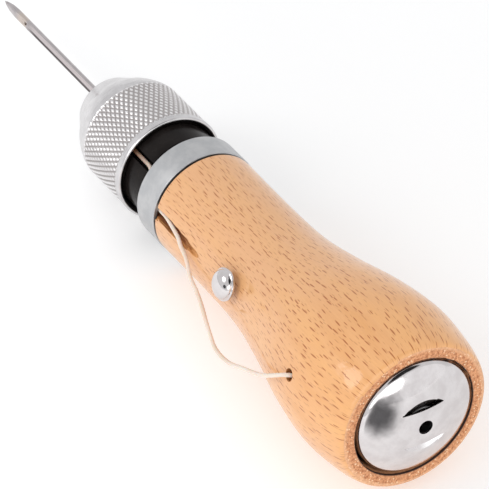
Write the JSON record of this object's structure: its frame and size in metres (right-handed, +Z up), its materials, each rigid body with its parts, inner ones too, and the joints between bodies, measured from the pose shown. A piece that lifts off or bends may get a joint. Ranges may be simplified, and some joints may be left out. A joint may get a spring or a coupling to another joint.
{
  "type": "sewing awl",
  "caption": "Lock-stitch sewing awl: bulbous beech handle with a bobbin of waxed thread in its butt, metal ferrule, moulded chuck with knurled screw cap, and eyed needle.",
  "frame": {"origin": "on the surface the awl lies on, under the middle of its bounding box, without the sewing thread", "axes": "+Z up; the needle points along -X and dips by 3.76 degrees, because the awl rests on the bulge of its handle and on its cap; the tension post, side hole and thread loop are on the -Y side"},
  "size_m": [0.1756, 0.0392, 0.0379],
  "materials": {
    "beech": "varnished beech, satin to gloss",
    "zinc": "satin zinc-plated steel",
    "aluminium": "turned aluminium, diamond knurled",
    "black_nylon": "glossy moulded nylon",
    "polished_steel": "pressed and polished steel",
    "bobbin_steel": "plain plated steel",
    "needle_steel": "ground and polished needle steel",
    "brass": "turned brass",
    "waxed_thread": "cream waxed polyester thread"
  },
  "bodies": {
    "handle_assembly": {"handle": "beech", "ferrule": "zinc", "chuck_body": "black_nylon", "tension_post": "polished_steel", "sewing_thread": "waxed_thread"},
    "bobbin": {"bobbin_dome": "polished_steel", "bobbin_outer_flange": "bobbin_steel", "bobbin_inner_flange": "bobbin_steel", "bobbin_core": "bobbin_steel", "thread_winding": "waxed_thread"},
    "needle_assembly": {"needle": "needle_steel", "needle_collet": "brass"},
    "cap": {"chuck_cap": "aluminium"}
  },
  "joints": [
    {"name": "bobbin_spin", "type": "hinge", "parent": "handle_assembly", "child": "bobbin", "pos_m": [0.08379, 0, 0.01984], "axis": [-0.9979, 0, -0.0655], "continuous": true},
    {"name": "needle_slide", "type": "slide", "parent": "handle_assembly", "child": "needle_assembly", "axis": [-0.9979, 0, -0.0655], "range_m": [0, 0.0086]},
    {"name": "cap_turn", "type": "hinge", "parent": "needle_assembly", "child": "cap", "pos_m": [-0.016, 0, 0.01329], "axis": [-0.9979, 0, -0.0655], "range_deg": [0, 1530]}
  ],
  "couplings": [
    {"joint": "needle_slide", "follows": "cap_turn", "m_per_rad": 0.00031831}
  ]
}
